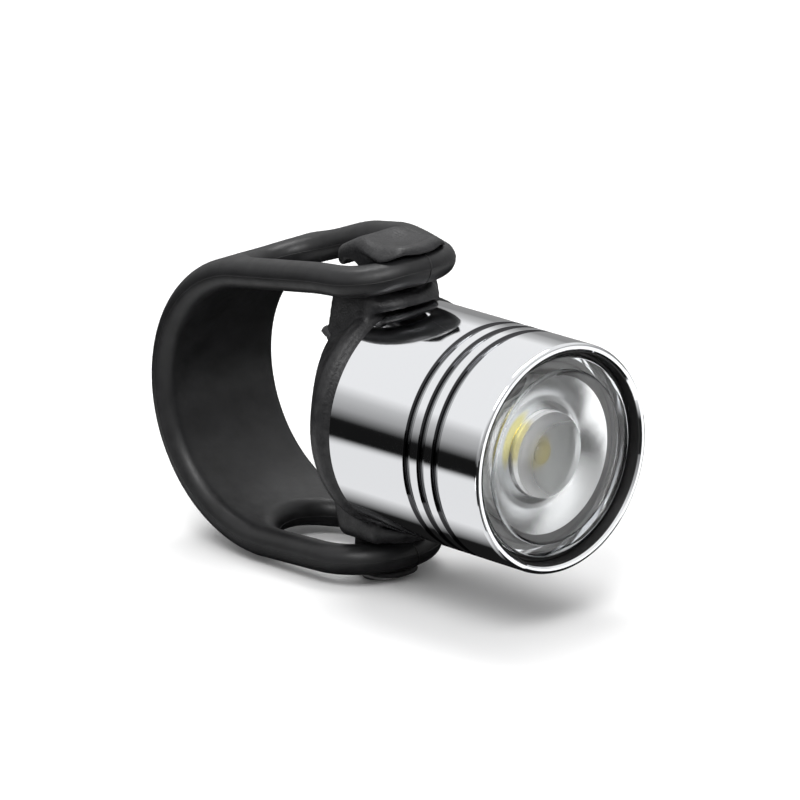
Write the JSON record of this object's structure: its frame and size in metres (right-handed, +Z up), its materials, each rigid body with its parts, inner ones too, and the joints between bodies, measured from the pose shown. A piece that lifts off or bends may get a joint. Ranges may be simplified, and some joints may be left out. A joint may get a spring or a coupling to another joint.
{
  "type": "bike headlight",
  "caption": "Turned metal bicycle headlight with a push lens, coin-cell head screwed on a hooked base, and a rubber strap for a round handlebar.",
  "frame": {"origin": "on the handlebar's axis, at the middle of the saddle", "axes": "+X along the handlebar, the beam points along -Y, +Z up"},
  "size_m": [0.0318, 0.0708, 0.0486],
  "materials": {
    "chromed_head": "polished, mirror-bright",
    "black_plastic": "black moulded plastic, semi-gloss",
    "strap_rubber": "black silicone rubber, soft sheen",
    "pad_rubber": "black rubber, matte",
    "seal_rubber": "black silicone, matte",
    "clear_lens": "clear moulded plastic, polished",
    "carrier_plastic": "dark grey moulded plastic",
    "board": "white solder mask",
    "led_package": "white ceramic-like package",
    "phosphor": "yellow phosphor",
    "led_silicone": "clear silicone dome",
    "component_black": "black moulded component",
    "resistor": "dark brown ceramic",
    "contact_metal": "plated spring metal",
    "screw_steel": "steel",
    "cell_steel": "stainless steel can",
    "sleeve_plastic": "black insulating plastic",
    "plunger_plastic": "ivory plastic"
  },
  "bodies": {
    "base": {"base_housing": "black_plastic", "saddle_pad": "pad_rubber", "body_oring": "seal_rubber", "negative_contact": "contact_metal", "contact_screws": "screw_steel", "strap_band": "strap_rubber"},
    "cells": {"battery_front": "cell_steel", "battery_rear": "cell_steel", "battery_sleeve": "sleeve_plastic"},
    "head": {"body_shell": "chromed_head", "lens_seal": "seal_rubber", "board_carrier": "carrier_plastic", "led_board": "board", "led_base": "led_package", "led_phosphor": "phosphor", "led_dome": "led_silicone", "switch_body": "component_black", "controller_chip": "component_black", "chip_resistors": "resistor", "positive_contact": "contact_metal", "board_screws": "screw_steel"},
    "lens": {"lens_button": "clear_lens", "switch_plunger": "plunger_plastic"},
    "upper_loop": {"strap_top_loop": "strap_rubber"},
    "lower_loop": {"strap_bottom_loop": "strap_rubber"}
  },
  "joints": [
    {"name": "head_advance", "type": "slide", "parent": "base", "child": "cells", "axis": [0, -1, 0], "range_m": [0, 0.0045]},
    {"name": "head_unscrew", "type": "hinge", "parent": "cells", "child": "head", "pos_m": [0, 0, 0], "axis": [0, -1, 0], "range_deg": [0, 1080]},
    {"name": "lens_press", "type": "slide", "parent": "head", "child": "lens", "axis": [0, 1, 0], "range_m": [0, 0.0008], "stiffness_N_per_m": 1500, "springref_m": -0.0005},
    {"name": "upper_loop_release", "type": "slide", "parent": "base", "child": "upper_loop", "axis": [0, -0.96, 0.28], "range_m": [0, 0.008], "stiffness_N_per_m": 1500, "springref_m": -0.002},
    {"name": "lower_loop_release", "type": "slide", "parent": "base", "child": "lower_loop", "axis": [0, -0.96, -0.28], "range_m": [0, 0.008], "stiffness_N_per_m": 1500, "springref_m": -0.002}
  ],
  "couplings": [
    {"joint": "head_unscrew", "follows": "head_advance", "rad_per_m": 4188.8}
  ]
}
